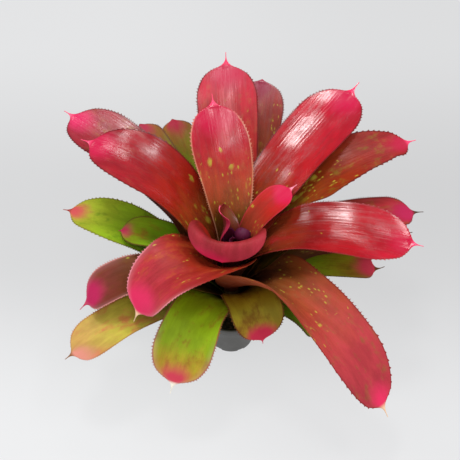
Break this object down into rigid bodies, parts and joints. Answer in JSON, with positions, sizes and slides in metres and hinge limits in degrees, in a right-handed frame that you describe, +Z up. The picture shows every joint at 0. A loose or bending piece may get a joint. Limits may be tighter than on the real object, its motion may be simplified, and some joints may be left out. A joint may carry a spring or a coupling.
{
  "type": "potted neoregelia bromeliad",
  "caption": "Potted neoregelia bromeliad: a spreading rosette of spiny-edged strap leaves, red and green with pink tips, in a small plain nursery pot.",
  "frame": {"origin": "the middle of the pot's foot, on the surface that it stands on", "axes": "+Z up along the pot's axis; the longest drooping leaf points towards +X and -Y"},
  "size_m": [0.4232, 0.3749, 0.3078],
  "materials": {
    "pot": "satin",
    "soil": "matte",
    "stem": "matte",
    "leaf_green": "satin",
    "leaf_mixed": "satin",
    "leaf_red": "satin",
    "leaf_heart": "satin"
  },
  "bodies": {
    "root": {"pot": "pot", "soil": "soil", "stem": "stem", "outer_leaf_1": "leaf_green", "outer_leaf_2": "leaf_green", "outer_leaf_3": "leaf_green", "outer_leaf_4": "leaf_green", "outer_leaf_5": "leaf_green", "outer_leaf_6": "leaf_green", "outer_leaf_7": "leaf_green", "outer_leaf_8": "leaf_mixed", "outer_leaf_9": "leaf_mixed", "outer_leaf_10": "leaf_mixed", "middle_leaf_1": "leaf_mixed", "middle_leaf_2": "leaf_green", "middle_leaf_3": "leaf_mixed", "middle_leaf_4": "leaf_red", "middle_leaf_5": "leaf_mixed", "middle_leaf_6": "leaf_mixed", "middle_leaf_7": "leaf_red", "inner_leaf_1": "leaf_red", "inner_leaf_2": "leaf_red", "inner_leaf_3": "leaf_red", "inner_leaf_4": "leaf_red", "inner_leaf_5": "leaf_red", "heart_leaf_1": "leaf_heart", "heart_leaf_2": "leaf_heart", "heart_leaf_3": "leaf_heart", "heart_leaf_4": "leaf_heart", "heart_leaf_5": "leaf_heart", "heart_leaf_6": "leaf_heart"}
  },
  "joints": []
}
